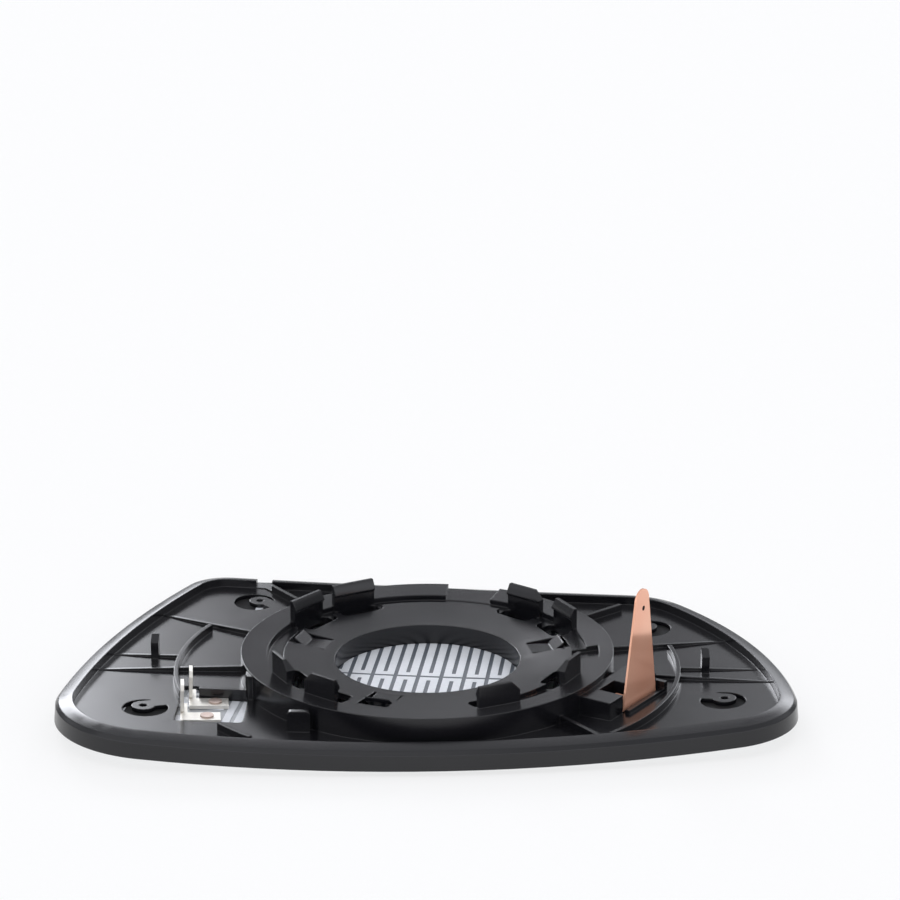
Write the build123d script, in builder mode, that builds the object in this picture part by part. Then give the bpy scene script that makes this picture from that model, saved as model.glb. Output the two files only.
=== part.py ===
"""Heated door mirror glass, lying on its mirror face with its fixing side up.

The origin is under the middle of the plate, where the bulged mirror face touches the ground.
X runs along the mirror, Y away from its near edge and Z up. All sizes are in millimetres.
Heights are measured from the mirror face, square to it, because every layer follows its curve.
"""
import os
from math import atan2, cos, degrees, hypot, radians, sin, sqrt

from build123d import *

os.makedirs("parts", exist_ok=True)

# Layers, counted up from the mirror face
face_radius = 1300.0
glass_thickness = 1.9
film_thickness = 0.2
track_thickness = 0.1
floor_thickness = 0.95
layer_clearance = 0.05

film_low = glass_thickness + layer_clearance
track_low = film_low + film_thickness + layer_clearance
track_top = track_low + track_thickness
plate_low = track_top + layer_clearance
floor_top = plate_low + floor_thickness

# Outline of the plate at the foot of its rim: four bowed edges with round corners
near_left, near_left_round = (-89.5, -50.9), 26.5
near_right, near_right_round = (87.5, -44.9), 20.5
far_right, far_right_round = (61.2, 44.6), 23.0
far_left, far_left_round = (-61.4, 59.1), 13.0
near_bow = 10.5
right_bow = 10.2
far_bow = 2.5
left_bow = 7.7

# Rim round the glass
rim_width = 2.2
rim_draft = 6.0
rim_clearance = 0.15
lip_height = 5.5
lip_width = 4.9
shoulder_run, shoulder_drop = 3.6, 1.1
shoulder_bevel = 0.7
film_inset = 1.5

# Seat ring that the mirror's tilting drive clips into
ring_x, ring_y = 0.0, -3.4
ring_radius = 46.0
ring_top = 10.5
ring_wall = 1.8
ring_edge_bevel = 0.35
hole_radius = 22.9
hole_top = 7.5
hole_wall = 1.5
disc_wall = 1.6

# Groove round the disc, measured down from the dished top
groove_inner, groove_outer = 35.6, 39.4
groove_wall_lean = 1.3
groove_depth = 1.4
groove_floor = 1.5
groove_runs = ((22.0, 240.0), (300.0, 336.0))
shallow_depth = 0.5
shallow_run = (3.0, 22.0)
pocket_outer = 42.3
pocket_run = (-8.0, 3.0)
rim_gap_run = (66.0, 83.5)
rim_gap_depth = 1.2

# Snap hooks: direction, width, and the side whose top corner is cut (-1, 0 or 1)
hooks = (
    (27.5, 9.2, 0),
    (50.2, 10.4, -1),
    (120.0, 11.6, 0),
    (142.5, 11.0, 0),
    (208.0, 8.6, 1),
    (231.0, 9.4, -1),
    (295.5, 10.6, 1),
    (331.0, 8.6, -1),
)
hook_radius = 40.0
hook_thickness = 1.5
hook_crest = 0.9
hook_reach = 0.6
hook_top = 15.1
hook_lead_in = 2.2
hook_nose = 0.3
hook_undercut = 0.5
hook_corner = 2.2
window_depth = 5.5
window_margin = 0.2
window_round = 1.5

# Spring tongues cut out of the disc: direction, and how far out the cut goes
tongues = ((12.0, 35.4), (162.0, 35.4), (250.0, 37.2))
tongue_width, tongue_thickness = 6.0, 1.1
tongue_root, tongue_bend, tongue_tip = 26.0, 31.4, 34.0
tongue_lift = 1.0
tongue_slot = 0.7

# Ribs on the floor, as end points from the middle of the ring and heights above the floor
rib_thickness = 1.1
rib_height = 1.8
tapered_ribs = (
    ((-45.0, 24.0), (-70.0, 36.0), 1.2),
    ((-61.5, 7.0), (-78.5, 7.2), 0.8),
    ((-45.5, -0.4), (-81.0, -3.5), 1.5),
    ((45.0, 13.0), (76.5, 16.5), 1.3),
    ((61.5, -1.0), (81.0, -3.7), 0.7),
    ((45.0, -3.6), (83.5, -12.2), 1.2),
)
level_ribs = (
    ((-27.0, 36.0), (-44.5, 58.0)),
    ((33.0, 28.0), (50.5, 41.0)),
    ((31.0, -32.0), (39.5, -45.5)),
)
rib_end_height = 0.15
arc_rib_gap = 4.8
arc_rib_runs = ((155.0, 212.0), (219.0, 229.5), (-46.5, 10.5))

# Stop posts on two of the ribs
post_spots = ((-68.1, 6.8), (68.4, -3.2))
post_width, post_depth = 1.9, 3.2
post_front, post_back = 4.4, 5.7

# Round cut-outs with a curled tongue: middle from the ring's middle, and which way it curls
snails = ((-66.7, -27.0, -1), (-46.4, 47.2, -1), (57.2, 27.6, 1), (70.8, -22.8, 1))
snail_radius = 5.4
snail_pad_radius = 2.8
snail_pad_shift = 1.8
snail_neck = 4.0
snail_hole_radius = 0.95

# Terminal window and the wall along its far side
window_left, window_right = -59.2, -43.0
window_near, window_far = -34.2, -18.0
window_corner = 1.2
window_wall = 1.2
window_wall_height = 2.0
window_slot_right, window_slot_far = -54.8, -11.6
fin_spot, fin_width, fin_length = (-42.6, -17.6), 1.8, 3.4
fin_top = 10.2

# Flat tabs that stand just outside the ring
tab_spots = ((-29.6, -38.6, 0.0), (-23.4, 42.0, -30.0))
tab_width, tab_thickness, tab_top = 5.4, 1.5, 9.5
tab_round = 0.9

# Notch through the far lip
notch_x, notch_width = -44.5, 4.2

# Holder of the copper strip, set square to a direction from the ring's middle
holder_angle = -34.0
holder_top = 9.0
holder_sink, holder_wall = 0.8, 2.5
block_start, block_end, block_reach = -3.4, 2.6, 0.3
holder_back_start, holder_end = 9.6, 19.5
sill_gap, sill_width, sill_height = 0.6, 1.2, 1.0
cheek_width, cheek_height = 1.3, 2.6

# Copper strip that stands in the holder
strip_thickness = 0.5
strip_start, strip_finish = 3.1, 18.6
strip_shoulder = 30.0
strip_shoulder_start, strip_shoulder_finish = 8.0, 14.2
strip_tip = 33.1
strip_hole, strip_hole_radius = (11.6, 28.2), 0.55
strip_tang_start, strip_tang_width, strip_tang_length = 4.6, 2.6, 4.2
strip_tang_level, strip_tang_gap = 6.6, 2.1
strip_clearance = 0.1

# Spade terminals riveted to the heater film
terminal_thickness = 0.8
terminal_tab_width, terminal_tab_height = 6.3, 7.4
terminal_tip_chamfer = 1.2
terminal_hole_radius, terminal_hole_height = 0.8, 4.6
terminal_base_length, terminal_base_width = 9.4, 5.0
terminal_arm_width = 1.7
terminal_tab_shift = 5.3
terminal_turn = 6.5
front_from_left, front_gap = 5.9, 0.7
rear_from_left, rear_gap = 7.0, 0.1
rivet_radius = 0.9
rivet_head_radius, rivet_head_height = 1.6, 0.4
rivet_shift = 1.5

# Heater track: upright legs in rows on both sides of a line, turned with the line about its middle
track_turn = -6.0
track_middle = (0.0, 0.5)
track_offset = -2.3
track_leg, track_gap, track_bar = 1.86, 1.0, 1.9
# Each row as stretches of legs: first and last leg, and how far they reach from the line
upper_row = ((-23, -18, 26.0), (-17, 12, 46.0), (13, 22, 26.0))
lower_row = ((-22, -16, 22.0), (-15, 14, 41.0), (15, 22, 22.0))
pad_length, pad_width = 11.0, 6.2

# Values worked out from the sizes above
stock_height = hook_top + lip_height
ball_turn = (90, 0, 0)
ring_axis = Axis((ring_x, ring_y, 0), (0, 0, 1))
seat_depth = floor_thickness / 2
leg_pitch = track_leg + track_gap
holder_inner = ring_radius - holder_sink
strip_radius = holder_inner + holder_wall + strip_tang_gap + strip_tang_length
arc_rib_radius = hypot(strip_radius, strip_finish) + arc_rib_gap


def sag(x, y, height=0.0):
    """Level of the surface at this height over the mirror face, at a point measured from the origin."""
    return face_radius - sqrt((face_radius - height) ** 2 - x**2 - y**2)


def floor_at(x, y):
    """Level of the plate's floor at a point measured from the ring's middle."""
    return sag(ring_x + x, ring_y + y, floor_top)


def dish(radius):
    """Level of the ring's dished top at a radius."""
    return hole_top + (ring_top - hole_top) * (radius - hole_radius) / (ring_radius - hole_radius)


def flat_plane(angle=0.0, x=0.0, y=0.0):
    """A level plane at a point from the ring's middle, with its X turned to a direction."""
    turn = radians(angle)
    return Plane((ring_x + x, ring_y + y, 0), x_dir=(cos(turn), sin(turn), 0), z_dir=(0, 0, 1))


def upright_plane(angle=0.0, x=0.0, y=0.0):
    """An upright plane at a point from the ring's middle: its X is a direction and its Y points up."""
    turn = radians(angle)
    along, across = (cos(turn), sin(turn), 0), (sin(turn), -cos(turn), 0)
    return Plane((ring_x + x, ring_y + y, 0), x_dir=along, z_dir=across)


def layer(outline, low, high):
    """A sheet of this outline between two heights over the curved mirror face."""
    with BuildPart() as sheet:
        add(outline)
        extrude(amount=stock_height)
        with Locations((0, 0, face_radius)):
            Sphere(face_radius - low, rotation=ball_turn, mode=Mode.INTERSECT)
            Sphere(face_radius - high, rotation=ball_turn, mode=Mode.SUBTRACT)
    return sheet.part


def inset_outline(inset):
    """The plate's outline drawn in by an inset, with each side as one plain arc."""
    with BuildSketch() as drawn_in:
        offset(plate_outline.sketch, amount=-inset)
    with BuildSketch() as inner:
        with BuildLine():
            for side in drawn_in.edges():
                ThreePointArc(side @ 0, side @ 0.5, side @ 1)
        make_face()
    return inner.sketch


def arc_band(radius, width, start, end):
    """Outline of a band round the ring's middle, between two directions."""
    with BuildSketch(flat_plane()) as band:
        with BuildLine():
            CenterArc((0, 0), radius, start, end - start)
        trace(line_width=width)
    return band.sketch


def oblong(left, right, near, far):
    """Outline of an oblong, with its sides measured from the ring's middle."""
    with BuildSketch(flat_plane()) as block:
        with Locations(((left + right) / 2, (near + far) / 2)):
            Rectangle(right - left, far - near)
    return block.sketch


def leg_x(leg):
    """Middle of a leg of the heater track, along its rows."""
    return track_offset + (leg + 0.5) * leg_pitch


def snap_hook(width, cut_side):
    """One hook at angle zero: an upright plate with a narrow crest and a sloped nose that points inwards."""
    inner = hook_radius - hook_thickness
    nose = inner - hook_reach
    nose_top = hook_top - hook_lead_in
    nose_low = nose_top - hook_nose
    foot = dish(inner) - groove_depth - groove_floor / 2
    with BuildPart() as hook:
        with BuildSketch(Plane.XZ):
            with BuildLine():
                Polyline(
                    (hook_radius, foot),
                    (hook_radius, hook_top),
                    (hook_radius - hook_crest, hook_top),
                    (nose, nose_top),
                    (nose, nose_low),
                    (inner, nose_low - hook_undercut),
                    (inner, foot),
                    close=True,
                )
            make_face()
        extrude(amount=width / 2, both=True)
        if cut_side:
            with BuildSketch(Plane.YZ):
                with Locations((cut_side * width / 2, hook_top)):
                    Rectangle(hook_corner * sqrt(2), hook_corner * sqrt(2), rotation=45)
            extrude(amount=hook_radius + hook_thickness, mode=Mode.SUBTRACT)
    return hook.part


# Outline of the plate
with BuildSketch() as plate_outline:
    with BuildLine():
        SagittaArc(near_left, near_right, -near_bow)
        SagittaArc(near_right, far_right, -right_bow)
        SagittaArc(far_right, far_left, -far_bow)
        SagittaArc(far_left, near_left, -left_bow)
    make_face()
    for corner, corner_round in (
        (near_left, near_left_round),
        (near_right, near_right_round),
        (far_right, far_right_round),
        (far_left, far_left_round),
    ):
        fillet(plate_outline.vertices().sort_by_distance(corner)[0], corner_round)

# Silvered glass, bulged downwards
with BuildPart() as mirror_glass:
    add(layer(inset_outline(rim_width + rim_clearance), 0, glass_thickness))
mirror_glass.part.label = "mirror_glass"

# Heater film stuck to the back of the glass
with BuildPart() as heater_film:
    add(layer(inset_outline(rim_width + film_inset), film_low, film_low + film_thickness))
heater_film.part.label = "heater_film"

# Printed heater track: one path to and fro through both rows, which starts and ends at a pad
line_edge = track_gap / 2
bar_edge = line_edge + track_bar
track_end = leg_x(upper_row[-1][1]) + track_leg / 2
return_start = leg_x(upper_row[0][0]) - track_leg / 2
strip_left = return_start - track_gap - track_bar
lower_start = leg_x(lower_row[0][0]) - track_leg / 2
pad_right = leg_x(lower_row[1][0]) - track_leg / 2 - track_gap
pad_left = pad_right - pad_length
rear_pad_top = -lower_row[0][2] - track_gap
front_pad_foot = -lower_row[1][2]
track_links = (
    (track_end - track_leg, track_end, -line_edge, line_edge),
    (strip_left, return_start, line_edge, bar_edge),
    (strip_left, strip_left + track_bar, front_pad_foot, bar_edge),
    (strip_left, pad_right, front_pad_foot, front_pad_foot + track_bar),
    (pad_left, pad_right, front_pad_foot, front_pad_foot + pad_width),
    (lower_start, lower_start + track_leg, rear_pad_top - track_bar, line_edge - lower_row[0][2]),
    (lower_start, pad_right, rear_pad_top - track_bar, rear_pad_top),
    (pad_left, pad_right, rear_pad_top - pad_width, rear_pad_top),
)
with BuildSketch(flat_plane(track_turn, *track_middle)) as track_outline:
    for side, row in ((1, upper_row), (-1, lower_row)):
        first, last, reach = row[0][0], row[-1][1], max(stretch[2] for stretch in row)
        with Locations(((leg_x(first) + leg_x(last)) / 2, side * (line_edge + track_bar / 2))):
            Rectangle(leg_x(last) - leg_x(first) + track_leg, track_bar)
        for start, end, far in row:
            with Locations(((leg_x(start) + leg_x(end)) / 2, side * far / 2)):
                Rectangle(leg_x(end) - leg_x(start) + track_leg, far - track_gap)
            inward = range(start + 1 - start % 2, end, 2)
            with Locations((leg_x(inward[0]) + leg_pitch / 2, side * (far - track_bar - line_edge) / 2)):
                with GridLocations(2 * leg_pitch, 0, len(inward), 1, align=(Align.MIN, Align.CENTER)):
                    Rectangle(track_gap, far - track_bar - line_edge, mode=Mode.SUBTRACT)
        outward = range(first + first % 2, last, 2)
        with Locations((leg_x(outward[0]) + leg_pitch / 2, side * (bar_edge + reach) / 2)):
            with GridLocations(2 * leg_pitch, 0, len(outward), 1, align=(Align.MIN, Align.CENTER)):
                Rectangle(track_gap, reach - bar_edge, mode=Mode.SUBTRACT)
    for left, right, low, high in track_links:
        with Locations(((left + right) / 2, (low + high) / 2)):
            Rectangle(right - left, high - low)
with BuildPart() as heater_track:
    add(layer(track_outline.sketch, track_low, track_top))
heater_track.part.label = "heater_track"

# Room for the glass and the heater, up to the underside of the plate
with BuildPart() as glass_pocket:
    with BuildSketch(Plane.XY.offset(-lip_height)):
        add(inset_outline(rim_width))
    extrude(amount=stock_height)
    with Locations((0, 0, face_radius)):
        Sphere(face_radius - plate_low, rotation=ball_turn, mode=Mode.SUBTRACT)

# Where the copper strip stands in its holder
strip_inner = strip_radius - strip_thickness / 2 - strip_clearance
strip_outer = strip_radius + strip_thickness / 2 + strip_clearance
sill_inner = strip_outer + sill_gap
sill_outer = sill_inner + sill_width
strip_x, strip_y = strip_radius * cos(radians(holder_angle)), strip_radius * sin(radians(holder_angle))
holder_floor = floor_at(strip_x, strip_y)
cheek_top, sill_top = holder_floor + cheek_height, holder_floor + sill_height

# Forms that stand on the floor of the plate and against its ring
with BuildPart() as raised_forms:
    # Arc ribs round the ring
    for run_start, run_end in arc_rib_runs:
        arc_rib = arc_band(arc_rib_radius, rib_thickness, run_start, run_end)
        add(layer(arc_rib, floor_top - seat_depth, floor_top + rib_height))

    # Straight ribs: those that run out to nothing at the rim, then those of one height
    straight_ribs = [(start, end, rise, rib_end_height) for start, end, rise in tapered_ribs]
    straight_ribs += [(start, end, rib_height, rib_height) for start, end in level_ribs]
    for start, end, start_rise, end_rise in straight_ribs:
        run = hypot(end[0] - start[0], end[1] - start[1])
        heading = degrees(atan2(end[1] - start[1], end[0] - start[0]))
        with BuildSketch(upright_plane(heading, *start)):
            with BuildLine():
                Polyline(
                    (0, floor_at(*start) - seat_depth),
                    (run, floor_at(*end) - seat_depth),
                    (run, floor_at(*end) + end_rise),
                    (0, floor_at(*start) + start_rise),
                    close=True,
                )
            make_face()
        extrude(amount=rib_thickness / 2, both=True)

    # Stop posts with sloped tops
    for x, y in post_spots:
        level = floor_at(x, y)
        with BuildSketch(upright_plane(90, x, y)):
            with BuildLine():
                Polyline(
                    (-post_depth / 2, level - seat_depth),
                    (post_depth / 2, level - seat_depth),
                    (post_depth / 2, level + post_back),
                    (-post_depth / 2, level + post_front),
                    close=True,
                )
            make_face()
        extrude(amount=post_width / 2, both=True)

    # Wall along the far side of the terminal window, and the fin that ties it to the ring
    far_wall = oblong(window_slot_right, window_right, window_far, window_far + window_wall)
    add(layer(far_wall, floor_top - seat_depth, floor_top + window_wall_height))
    fin_foot = floor_at(*fin_spot) - seat_depth
    with BuildSketch(flat_plane().offset(fin_foot)):
        with Locations(fin_spot):
            Rectangle(fin_width, fin_length)
    extrude(amount=fin_top - fin_foot)

    # Flat tabs outside the ring
    for x, y, turn in tab_spots:
        level = floor_at(x, y) - seat_depth
        with BuildSketch(upright_plane(turn, x, y)) as tab_face:
            with Locations((0, level)):
                Rectangle(tab_width, tab_top - level, align=(Align.CENTER, Align.MIN))
            fillet(tab_face.vertices().group_by(Axis.Z)[-1], tab_round)
        extrude(amount=tab_thickness / 2, both=True)

    # Holder of the copper strip
    for low, high, start, end, top in (
        (holder_inner, strip_radius + block_reach, block_start, block_end, holder_top),
        (holder_inner, holder_inner + holder_wall, block_end, holder_back_start, holder_top),
        (holder_inner, strip_inner, holder_back_start, holder_end, holder_top),
        (strip_inner - cheek_width, sill_outer, holder_end, holder_end + cheek_width, cheek_top),
        (sill_inner, sill_outer, block_end, holder_end, sill_top),
    ):
        with BuildSketch(flat_plane(holder_angle).offset(holder_floor - floor_thickness)):
            with Locations(((low + high) / 2, (start + end) / 2)):
                Rectangle(high - low, end - start)
        extrude(amount=top - holder_floor + floor_thickness)

# Circle of snap hooks
with BuildPart() as hook_circle:
    for direction, width, cut_side in hooks:
        with Locations(Location((ring_x, ring_y, 0), (0, 0, direction))):
            add(snap_hook(width, cut_side))

# Circle of spring tongues, which run level from their roots and turn up at their tips
with BuildPart() as tongue_circle:
    root_level, tip_level = dish(tongue_root), dish(tongue_tip) + tongue_lift
    for direction, _ in tongues:
        with BuildSketch(upright_plane(direction)):
            with BuildLine():
                Polyline(
                    (tongue_root - tongue_slot, root_level - tongue_thickness),
                    (tongue_bend, root_level - tongue_thickness),
                    (tongue_tip, tip_level - tongue_thickness),
                    (tongue_tip, tip_level),
                    (tongue_bend, root_level),
                    (tongue_root, root_level),
                    (tongue_root - tongue_slot, root_level - tongue_thickness / 2),
                    close=True,
                )
            make_face()
        extrude(amount=tongue_width / 2, both=True)

# Moulded carrier plate
with BuildPart() as carrier_plate:
    # Rim with a sloped shoulder, and the sunken floor inside its lip
    add(plate_outline.sketch)
    extrude(amount=stock_height, taper=rim_draft)
    with Locations((0, 0, face_radius)):
        Sphere(face_radius, rotation=ball_turn, mode=Mode.INTERSECT)
        Sphere(face_radius - lip_height, rotation=ball_turn, mode=Mode.SUBTRACT)
    back = carrier_plate.faces().filter_by(GeomType.SPHERE).sort_by(Axis.Z)[-1]
    chamfer(back.edges(), shoulder_run, shoulder_drop, reference=back)
    rim_walls = carrier_plate.faces().filter_by(GeomType.CONE)
    shoulders = carrier_plate.faces().filter_by(GeomType.BSPLINE)
    chamfer(rim_walls.edges() & shoulders.edges(), shoulder_bevel)
    add(layer(inset_outline(lip_width), floor_top, 2 * lip_height), mode=Mode.SUBTRACT)

    # Ring with a dished top
    with BuildSketch(upright_plane()) as ring_profile:
        with BuildLine():
            Polyline(
                (0, 0),
                (ring_radius, 0),
                (ring_radius, ring_top),
                (hole_radius, hole_top),
                (0, hole_top),
                close=True,
            )
        make_face()
        chamfer(ring_profile.vertices().sort_by(Axis.Z)[-1], ring_edge_bevel)
    revolve(axis=ring_axis)

    # Ribs, posts, tabs and the strip's holder
    add(raised_forms.part)

    # Hollow under the ring, and the hole through its middle
    with BuildSketch(upright_plane()):
        inner, outer = hole_radius + hole_wall, ring_radius - ring_wall
        step = groove_inner - groove_floor
        under_groove = groove_depth + groove_floor
        with BuildLine():
            Polyline(
                (inner, -seat_depth),
                (outer, -seat_depth),
                (outer, dish(outer) - under_groove),
                (step, dish(step) - under_groove),
                (step, dish(step) - disc_wall),
                (inner, dish(inner) - disc_wall),
                close=True,
            )
        make_face()
    revolve(axis=ring_axis, mode=Mode.SUBTRACT)
    with BuildSketch(flat_plane()):
        Circle(hole_radius)
    extrude(amount=stock_height, mode=Mode.SUBTRACT)

    # Grooves round the disc, the pocket at one end and the gap in the rim
    cuts = [(groove_inner, groove_outer, groove_wall_lean, groove_depth, run) for run in groove_runs]
    cuts.append((groove_inner, groove_outer, groove_wall_lean, shallow_depth, shallow_run))
    cuts.append((groove_inner, pocket_outer, 0, groove_depth, pocket_run))
    cuts.append((groove_outer - groove_wall_lean, ring_radius + ring_wall, 0, rim_gap_depth, rim_gap_run))
    for inner, outer, lean, depth, (run_start, run_end) in cuts:
        with BuildSketch(upright_plane(run_start)):
            with BuildLine():
                Polyline(
                    (inner, dish(inner) - depth),
                    (outer, dish(outer) - depth),
                    (outer + lean, stock_height),
                    (inner, stock_height),
                    close=True,
                )
            make_face()
        revolve(axis=ring_axis, revolution_arc=run_end - run_start, mode=Mode.SUBTRACT)

    # Mould windows in front of the hooks
    hook_inner = hook_radius - hook_thickness
    with BuildSketch(flat_plane().offset(plate_low)):
        for direction, width, _ in hooks:
            with PolarLocations(hook_inner - window_depth / 2, 1, start_angle=direction):
                RectangleRounded(window_depth, width + 2 * window_margin, window_round)
    extrude(amount=ring_top, mode=Mode.SUBTRACT)

    # Cuts round the spring tongues
    with BuildSketch(flat_plane().offset(plate_low)):
        for direction, cut_end in tongues:
            with PolarLocations((tongue_root + cut_end) / 2, 1, start_angle=direction):
                Rectangle(cut_end - tongue_root, tongue_width + 2 * tongue_slot)
    extrude(amount=ring_top, mode=Mode.SUBTRACT)

    # Terminal window
    with BuildSketch(flat_plane()) as terminal_window:
        with Locations(((window_left + window_right) / 2, (window_near + window_far) / 2)):
            RectangleRounded(window_right - window_left, window_far - window_near, window_corner)
        with Locations(((window_left + window_slot_right) / 2, (window_near + window_slot_far) / 2)):
            RectangleRounded(window_slot_right - window_left, window_slot_far - window_near, window_corner)
    extrude(amount=stock_height, mode=Mode.SUBTRACT)

    # Round cut-outs with curled tongues
    with BuildSketch(flat_plane()):
        for x, y, curl in snails:
            pad = curl * snail_pad_shift
            neck = pad + curl * (snail_pad_radius - snail_neck / 2)
            with Locations(Location((x, y, 0), (0, 0, degrees(atan2(y, x))))):
                Circle(snail_radius)
                with Locations((-snail_radius / 2, neck)):
                    Rectangle(snail_radius + rib_thickness, snail_neck, mode=Mode.SUBTRACT)
                with Locations((0, pad)):
                    Circle(snail_pad_radius, mode=Mode.SUBTRACT)
                    Circle(snail_hole_radius)
    extrude(amount=stock_height, mode=Mode.SUBTRACT)

    # Notch through the far lip
    with BuildSketch(Plane.XY.offset(sag(notch_x, far_left[1], floor_top))):
        with Locations((notch_x, far_left[1])):
            Rectangle(notch_width, 4 * lip_width)
    extrude(amount=stock_height, mode=Mode.SUBTRACT)

    # Snap hooks and spring tongues
    add(hook_circle.part)
    add(tongue_circle.part)

    # Pocket that takes the glass and the heater
    add(glass_pocket.part, mode=Mode.SUBTRACT)
carrier_plate.part.label = "carrier_plate"

# Copper strip with a round tip, and a tang bent into the holder
strip_foot = holder_floor + 2 * strip_clearance
with BuildPart() as copper_strip:
    with BuildSketch(upright_plane(holder_angle + 90, strip_x, strip_y)):
        with BuildLine():
            left_shoulder = (strip_shoulder_start, strip_shoulder)
            right_shoulder = (strip_shoulder_finish, strip_shoulder)
            tip = ((strip_shoulder_start + strip_shoulder_finish) / 2, strip_tip)
            Polyline(left_shoulder, (strip_start, strip_foot), (strip_finish, strip_foot), right_shoulder)
            ThreePointArc(right_shoulder, tip, left_shoulder)
        make_face()
        with Locations(strip_hole):
            Circle(strip_hole_radius, mode=Mode.SUBTRACT)
    extrude(amount=strip_thickness / 2, both=True)
    with BuildSketch(flat_plane(holder_angle).offset(strip_tang_level)):
        with Locations((strip_radius - strip_tang_length / 2, strip_tang_start + strip_tang_width / 2)):
            Rectangle(strip_tang_length, strip_tang_width)
    extrude(amount=strip_thickness)
copper_strip.part.label = "copper_strip"

# Middles of the terminals' bases, set off from the sides of the window
base_heading = radians(terminal_turn)
base_reach = terminal_base_width * cos(base_heading) + terminal_base_length * sin(base_heading)
terminal_spots = {
    "terminal_front": (window_left + front_from_left, window_near + front_gap + base_reach / 2),
    "terminal_rear": (window_left + rear_from_left, window_far - rear_gap - base_reach / 2),
}


def terminal_seat(spot):
    """The plane just above the heater track at the middle of a terminal's base, with its X along the base."""
    x, y = ring_x + spot[0], ring_y + spot[1]
    level = sag(x, y, plate_low)
    up = Vector(-x, -y, face_radius - level).normalized()
    ahead = Vector(cos(base_heading), sin(base_heading), 0)
    return Plane((x, y, level), x_dir=(ahead - up * ahead.dot(up)).normalized(), z_dir=up)


# Spade terminals: a riveted base, an arm and an upright tab
terminals = {}
for name, spot in terminal_spots.items():
    seat = terminal_seat(spot)
    bend = -terminal_base_length / 2
    with BuildPart() as terminal:
        arm_length = terminal_tab_shift + (terminal_tab_width + terminal_base_width) / 2
        with BuildSketch(seat):
            Rectangle(terminal_base_length, terminal_base_width)
            with Locations((bend + terminal_arm_width / 2, (arm_length - terminal_base_width) / 2)):
                Rectangle(terminal_arm_width, arm_length)
            with Locations((rivet_shift, 0)):
                Circle(rivet_radius, mode=Mode.SUBTRACT)
        extrude(amount=terminal_thickness)
        upright = Plane(seat.from_local_coords((bend, 0, 0)), x_dir=seat.y_dir, z_dir=seat.x_dir)
        with BuildSketch(upright) as tab_face:
            with Locations((terminal_tab_shift, terminal_tab_height / 2)):
                Rectangle(terminal_tab_width, terminal_tab_height)
            chamfer(tab_face.vertices().group_by(Axis.Z)[-1], terminal_tip_chamfer)
            with Locations((terminal_tab_shift, terminal_hole_height)):
                Circle(terminal_hole_radius, mode=Mode.SUBTRACT)
        extrude(amount=terminal_thickness)
    terminal.part.label = name
    terminals[name] = terminal.part

# Rivets with flat heads that hold the terminals down
with BuildPart() as terminal_rivets:
    for spot in terminal_spots.values():
        seat = terminal_seat(spot)
        with BuildSketch(seat):
            with Locations((rivet_shift, 0)):
                Circle(rivet_radius)
        extrude(amount=terminal_thickness)
        with BuildSketch(seat.offset(terminal_thickness)):
            with Locations((rivet_shift, 0)):
                Circle(rivet_head_radius)
        extrude(amount=rivet_head_height)
terminal_rivets.part.label = "terminal_rivets"

pieces = [mirror_glass.part, heater_film.part, heater_track.part, carrier_plate.part, copper_strip.part]
pieces += [*terminals.values(), terminal_rivets.part]
for piece in pieces:
    export_step(piece, f"parts/{piece.label}.step")
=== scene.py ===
"""Looks of the heated door mirror glass, which lies on its mirror face with its fixing side up.

Sizes are written in millimetres and turned into metres where they are used.
"""
import math

import bmesh
import bpy
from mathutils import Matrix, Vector


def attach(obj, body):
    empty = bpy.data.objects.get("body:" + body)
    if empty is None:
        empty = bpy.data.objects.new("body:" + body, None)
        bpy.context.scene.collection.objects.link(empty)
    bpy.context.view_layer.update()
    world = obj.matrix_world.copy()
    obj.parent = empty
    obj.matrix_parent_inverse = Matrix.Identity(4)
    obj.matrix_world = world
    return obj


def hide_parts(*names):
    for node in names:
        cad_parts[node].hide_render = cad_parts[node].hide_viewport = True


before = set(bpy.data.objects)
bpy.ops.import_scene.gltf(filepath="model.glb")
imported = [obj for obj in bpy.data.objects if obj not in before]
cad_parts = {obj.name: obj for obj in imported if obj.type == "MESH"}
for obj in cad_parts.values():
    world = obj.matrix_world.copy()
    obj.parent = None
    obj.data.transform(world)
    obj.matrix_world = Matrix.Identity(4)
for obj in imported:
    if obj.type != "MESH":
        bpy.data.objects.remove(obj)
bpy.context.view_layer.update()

MM = 0.001

# Camera, measured from the object's origin
camera_spot = (5.59, -570.06, 229.3)
camera_pitch = 73.47
camera_lens = 98.0
camera_sensor = 36.0

# How bright the studio is, with two soft boxes behind the object
top_level, front_level, back_level = 0.72, 1.6, 0.42
left_box_level, right_box_level = 13.0, 7.0
horizon_level, outer_level = 0.35, 1.0
studio_tint = "#f7f9ff"

# Where one brightness fades into the next, along the axes of the direction that is looked in
left_box_outer, left_box_inner = (-0.46, -0.34), (-0.2, -0.05)
right_box_inner, right_box_outer = (0.04, 0.32), (0.33, 0.47)
front_to_back = (-0.5, 0.0)
horizon_rise, top_rise = (0.22, 0.36), (0.39, 0.57)

# Floor, and the soft lamp above
floor_size = 16000.0
floor_white_share = 0.7
lamp_pitch, lamp_turn, lamp_spread, lamp_strength = 35.0, -40.0, 60.0, 0.3

# Finish of the pieces
crease_angle = 32.0
weld_distance = 0.002
plastic_edge_round = 0.35
glue_spots = ((-66.7, -30.4), (-46.4, 43.8), (57.2, 24.2), (70.8, -26.2))
glue_radius = 7.0
glue_dullness = 0.5
pale_ground_right = -40.0
# Painted shade in the copper strip's punched hole: its spot and its reach
strip_hole_spot, strip_hole_shade_radius = (51.25, -23.98, 28.2), 0.68

# Sockets of a colour mix, and the range in which most of a soft noise lies
mix_share, mix_first, mix_second, mix_colour = 0, 6, 7, 2
noise_low, noise_high = 0.3, 0.7


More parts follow.
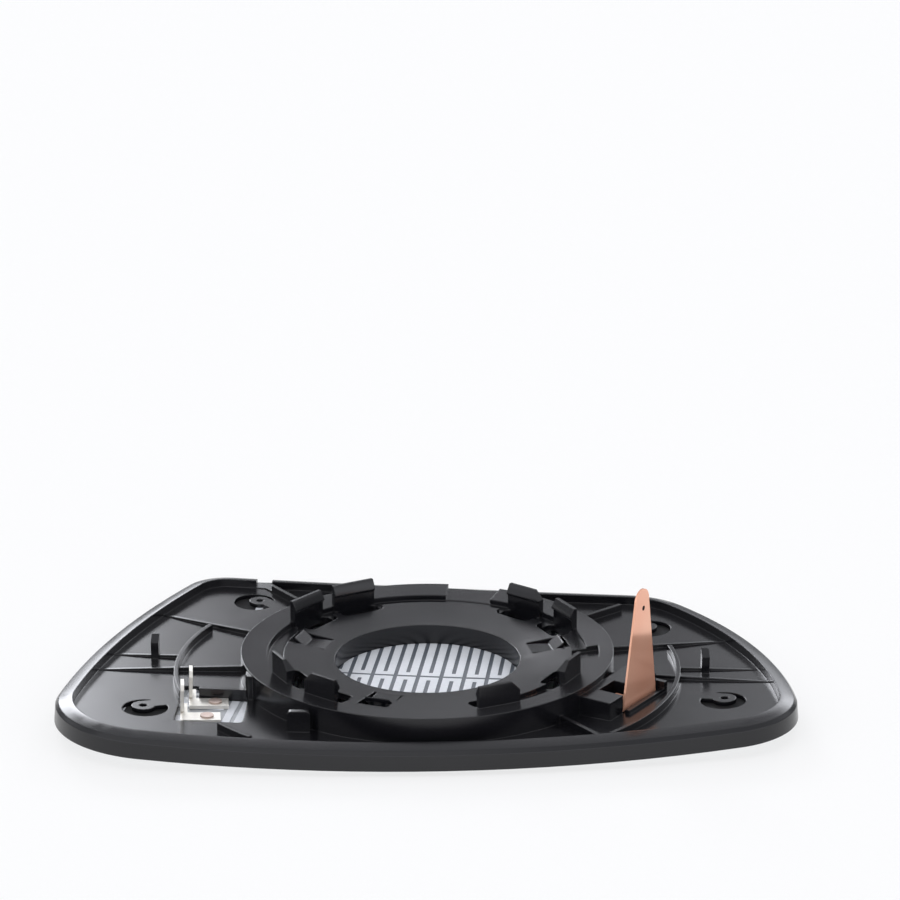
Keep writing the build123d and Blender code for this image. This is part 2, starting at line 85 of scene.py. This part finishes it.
def srgb(code):
    """Linear colour of an sRGB hex value."""
    channels = [int(code[place : place + 2], 16) / 255 for place in (1, 3, 5)]
    return [c / 12.92 if c <= 0.04045 else ((c + 0.055) / 1.055) ** 2.4 for c in channels] + [1.0]


def add_node(tree, kind, settings=None):
    """Adds a node, and gives its properties and inputs their values or links."""
    node = tree.nodes.new(kind)
    for name, value in (settings or {}).items():
        if isinstance(value, bpy.types.NodeSocket):
            tree.links.new(value, node.inputs[name])
        elif isinstance(name, int) or name in node.inputs:
            node.inputs[name].default_value = value
        else:
            setattr(node, name, value)
    return node


def new_material(name):
    """An empty material, and its node tree to fill."""
    material = bpy.data.materials.new(name)
    material.use_nodes = True
    material.node_tree.nodes.clear()
    return material, material.node_tree


def finished(material, surface):
    """Ends a material with the surface that it shows."""
    add_node(material.node_tree, "ShaderNodeOutputMaterial", {"Surface": surface})
    return material


def mottled(tree, first, second, size, detail=0.0):
    """Soft blotches of a size in millimetres over a piece, between two numbers or two sRGB values."""
    place = add_node(tree, "ShaderNodeTexCoord").outputs["Object"]
    settings = {"Vector": place, "Scale": 1 / (size * MM), "Detail": detail}
    blotches = add_node(tree, "ShaderNodeTexNoise", settings).outputs["Fac"]
    if isinstance(first, str):
        colours = {mix_first: srgb(first), mix_second: srgb(second)}
        mix = add_node(tree, "ShaderNodeMix", {"data_type": "RGBA", mix_share: blotches} | colours)
        return mix.outputs[mix_colour]
    levels = {"From Min": noise_low, "From Max": noise_high, "To Min": first, "To Max": second}
    return add_node(tree, "ShaderNodeMapRange", {"Value": blotches} | levels).outputs["Result"]


def within(tree, place, spot, radius):
    """A mask that is 1 within a radius in millimetres of a spot."""
    settings = {"operation": "DISTANCE", 0: place, 1: [part * MM for part in spot]}
    gap = add_node(tree, "ShaderNodeVectorMath", settings).outputs["Value"]
    settings = {"operation": "LESS_THAN", 0: gap, 1: radius * MM}
    return add_node(tree, "ShaderNodeMath", settings).outputs["Value"]


def moulded_plastic():
    """Black polypropylene, moulded in a polished tool."""
    # A deep black with a satin sheen that wanders a little, and soft lights along the rounded edges
    material, tree = new_material("moulded_polypropylene")
    rounded = add_node(tree, "ShaderNodeBevel", {"samples": 6, "Radius": plastic_edge_round * MM})
    settings = {
        "Base Color": mottled(tree, "#101013", "#151518", size=16.0),
        "Roughness": mottled(tree, 0.18, 0.25, size=14.0, detail=1.0),
        "Normal": rounded.outputs["Normal"],
        "IOR": 1.49,
    }
    return finished(material, add_node(tree, "ShaderNodeBsdfPrincipled", settings).outputs["BSDF"])


def rolled_copper():
    """Bright copper sheet, rolled and punched."""
    # A clear warm gloss with a faint darker bloom, and painted shade inside the punched hole: a dark brown
    # where the hole's inner wall lies in shadow
    material, tree = new_material("rolled_copper")
    place = add_node(tree, "ShaderNodeTexCoord").outputs["Object"]
    # Painted shade: dark brown inside the punched hole, where its inner wall lies in shadow
    hole_shade_mix = {
        "data_type": "RGBA",
        mix_share: within(tree, place, strip_hole_spot, strip_hole_shade_radius),
        mix_first: mottled(tree, "#fac0a3", "#f4b091", size=9.0),
        mix_second: srgb("#2c1a14"),
    }
    settings = {
        "Base Color": add_node(tree, "ShaderNodeMix", hole_shade_mix).outputs[mix_colour],
        "Roughness": mottled(tree, 0.09, 0.13, size=7.0),
        "Metallic": 0.4,
    }
    return finished(material, add_node(tree, "ShaderNodeBsdfPrincipled", settings).outputs["BSDF"])


def dull_metal(name, first, second):
    """Stamped metal with a dull skin, as tin plating and old bronze have."""
    # A soft sheen that stays pale in any light, with small cloudy blotches
    material, tree = new_material(name)
    settings = {
        "Base Color": mottled(tree, first, second, size=1.2, detail=3.0),
        "Roughness": mottled(tree, 0.34, 0.5, size=0.8, detail=3.0),
        "Metallic": 0.7,
    }
    return finished(material, add_node(tree, "ShaderNodeBsdfPrincipled", settings).outputs["BSDF"])


def silvered_mirror():
    """Float glass, bent and silvered."""
    # A clear, slightly cool mirror with a faint haze
    material, tree = new_material("silvered_glass")
    settings = {
        "Base Color": mottled(tree, "#dde3e6", "#d6dde1", size=30.0, detail=2.0),
        "Roughness": mottled(tree, 0.012, 0.03, size=20.0, detail=3.0),
        "Metallic": 1.0,
    }
    return finished(material, add_node(tree, "ShaderNodeBsdfPrincipled", settings).outputs["BSDF"])


def polyester_film():
    """Polyester heater film, with a pale ground at the terminals and glue behind the round cut-outs."""
    # A flat satin grey that turns pale at the terminals, and matt black where the glue lies; the darker
    # grey holds painted shade, as it is the film's look in the shaded hub hole
    material, tree = new_material("polyester_film")
    place = add_node(tree, "ShaderNodeTexCoord").outputs["Object"]
    axes = add_node(tree, "ShaderNodeSeparateXYZ", {"Vector": place}).outputs
    flat = add_node(tree, "ShaderNodeCombineXYZ", {"X": axes["X"], "Y": axes["Y"]}).outputs["Vector"]
    glued = 0.0
    for x, y in glue_spots:
        settings = {"operation": "MAXIMUM", 0: glued, 1: within(tree, flat, (x, y, 0), glue_radius)}
        glued = add_node(tree, "ShaderNodeMath", settings).outputs["Value"]
    settings = {"operation": "LESS_THAN", 0: axes["X"], 1: pale_ground_right * MM}
    ground = {
        "data_type": "RGBA",
        mix_share: add_node(tree, "ShaderNodeMath", settings).outputs["Value"],
        # Painted shade in part: the darker grey is the film's grey darkened to its look in the shaded hub
        # hole
        mix_first: mottled(tree, "#646a72", "#595e66", size=3.0, detail=3.0),
        mix_second: mottled(tree, "#b4b7ba", "#a6a9ad", size=3.0, detail=3.0),
    }
    film = {
        "data_type": "RGBA",
        mix_share: glued,
        mix_first: add_node(tree, "ShaderNodeMix", ground).outputs[mix_colour],
        mix_second: srgb("#101012"),
    }
    gloss = mottled(tree, 0.34, 0.46, size=6.0, detail=2.0)
    dulled = {"operation": "MULTIPLY_ADD", 0: glued, 1: glue_dullness, 2: gloss}
    settings = {
        "Base Color": add_node(tree, "ShaderNodeMix", film).outputs[mix_colour],
        "Roughness": add_node(tree, "ShaderNodeMath", dulled).outputs["Value"],
    }
    return finished(material, add_node(tree, "ShaderNodeBsdfPrincipled", settings).outputs["BSDF"])


def silver_ink():
    """Silver ink, screen printed on the film."""
    # Pale and nearly matt, with the cloudy look of a thin print
    material, tree = new_material("printed_silver_ink")
    settings = {
        "Base Color": mottled(tree, "#eceef1", "#dcdfe4", size=0.9, detail=4.0),
        "Roughness": mottled(tree, 0.42, 0.55, size=2.0, detail=2.0),
    }
    return finished(material, add_node(tree, "ShaderNodeBsdfPrincipled", settings).outputs["BSDF"])


def softened(node, name):
    """A copy of a CAD node with shared corners, smooth where its faces curve, that stands for the node."""
    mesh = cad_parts[node].data.copy()
    form = bmesh.new()
    form.from_mesh(mesh)
    bmesh.ops.remove_doubles(form, verts=form.verts, dist=weld_distance * MM)
    for face in form.faces:
        face.smooth = True
    for edge in form.edges:
        edge.smooth = len(edge.link_faces) == 2 and edge.calc_face_angle() < math.radians(crease_angle)
    form.to_mesh(mesh)
    form.free()
    piece = bpy.data.objects.new(name, mesh)
    bpy.context.scene.collection.objects.link(piece)
    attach(piece, "root")
    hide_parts(node)
    return piece


# The pieces: the CAD node that each stands for, its name, the record's slot and its one material
tinned_brass = dull_metal("tinned_brass", "#f1eee8", "#dedad1")
for node, name, slot, material in (
    ("carrier_plate", "moulded_plate", "black_plastic", moulded_plastic()),
    ("copper_strip", "copper_contact", "copper", rolled_copper()),
    ("terminal_front", "front_spade", "tinned_metal", tinned_brass),
    ("terminal_rear", "rear_spade", "tinned_metal", tinned_brass),
    ("mirror_glass", "silvered_face", "silvered_glass", silvered_mirror()),
    ("heater_film", "heater_foil", "heater_film", polyester_film()),
    ("heater_track", "heater_print", "printed_silver", silver_ink()),
    ("terminal_rivets", "spade_rivets", "tinned_metal", dull_metal("rivet_bronze", "#cdbcb3", "#b9a398")),
):
    piece = softened(node, name)
    piece.data.materials.clear()
    piece.data.materials.append(material)


def white_floor_finish():
    """Matt white floor, and partly plain white to the eye, so that the object's shadow stays faint."""
    material, tree = new_material("matt_white_floor")
    path = add_node(tree, "ShaderNodeLightPath").outputs
    seen = path["Is Camera Ray"]
    for kind in ("Is Glossy Ray", "Is Transmission Ray"):
        settings = {"operation": "MAXIMUM", 0: seen, 1: path[kind]}
        seen = add_node(tree, "ShaderNodeMath", settings).outputs["Value"]
    share = add_node(tree, "ShaderNodeMath", {"operation": "MULTIPLY", 0: seen, 1: floor_white_share})
    matt = add_node(tree, "ShaderNodeBsdfDiffuse", {"Color": srgb("#fcfcfc")})
    white = add_node(tree, "ShaderNodeEmission", {"Color": srgb("#ffffff"), "Strength": 1.0})
    settings = {0: share.outputs["Value"], 1: matt.outputs["BSDF"], 2: white.outputs["Emission"]}
    return finished(material, add_node(tree, "ShaderNodeMixShader", settings).outputs["Shader"])


def pale_floor():
    """The floor that the object lies on."""
    form = bmesh.new()
    bmesh.ops.create_grid(form, x_segments=1, y_segments=1, size=floor_size / 2 * MM)
    mesh = bpy.data.meshes.new("pale_floor")
    form.to_mesh(mesh)
    form.free()
    mesh.materials.append(white_floor_finish())
    floor = bpy.data.objects.new("pale_floor", mesh)
    bpy.context.scene.collection.objects.link(floor)


pale_floor()


def studio_world():
    """A soft white studio: two bright boxes behind the object, dim between them and at the horizon."""
    world = bpy.data.worlds.new("soft_studio")
    world.use_nodes = True
    tree = world.node_tree
    direction = add_node(tree, "ShaderNodeTexCoord").outputs["Generated"]
    axes = add_node(tree, "ShaderNodeSeparateXYZ", {"Vector": direction}).outputs

    def fade(axis, stretch, low, high):
        """A smooth change along a stretch of an axis, between levels that are numbers or nodes' outputs."""
        settings = {
            "interpolation_type": "SMOOTHSTEP",
            "From Min": stretch[0],
            "From Max": stretch[1],
            "Value": axes[axis],
        }
        share = add_node(tree, "ShaderNodeMapRange", settings).outputs["Result"]
        return add_node(tree, "ShaderNodeMix", {"Factor": share, "A": low, "B": high}).outputs["Result"]

    left_box = fade("X", left_box_outer, outer_level, left_box_level)
    right_box = fade("X", right_box_outer, right_box_level, outer_level)
    behind = fade("X", left_box_inner, left_box, fade("X", right_box_inner, back_level, right_box))
    behind = fade("Z", horizon_rise, horizon_level, behind)
    around = fade("Y", front_to_back, front_level, behind)
    light = tree.nodes["Background"]
    light.inputs["Color"].default_value = srgb(studio_tint)
    tree.links.new(fade("Z", top_rise, around, top_level), light.inputs["Strength"])
    return world


bpy.context.scene.world = studio_world()

lamp = bpy.data.lights.new("soft_lamp", "SUN")
lamp.angle = math.radians(lamp_spread)
lamp.energy = lamp_strength
lamp_stand = bpy.data.objects.new("soft_lamp", lamp)
lamp_stand.rotation_euler = (math.radians(lamp_pitch), 0, math.radians(lamp_turn))
bpy.context.scene.collection.objects.link(lamp_stand)

camera_data = bpy.data.cameras.new("camera")
camera_data.lens = camera_lens
camera_data.sensor_width = camera_sensor
camera = bpy.data.objects.new("camera", camera_data)
camera.location = Vector(camera_spot) * MM
camera.rotation_euler = (math.radians(camera_pitch), 0, 0)
bpy.context.scene.collection.objects.link(camera)
bpy.context.scene.camera = camera
bpy.context.scene.view_settings.view_transform = "Standard"
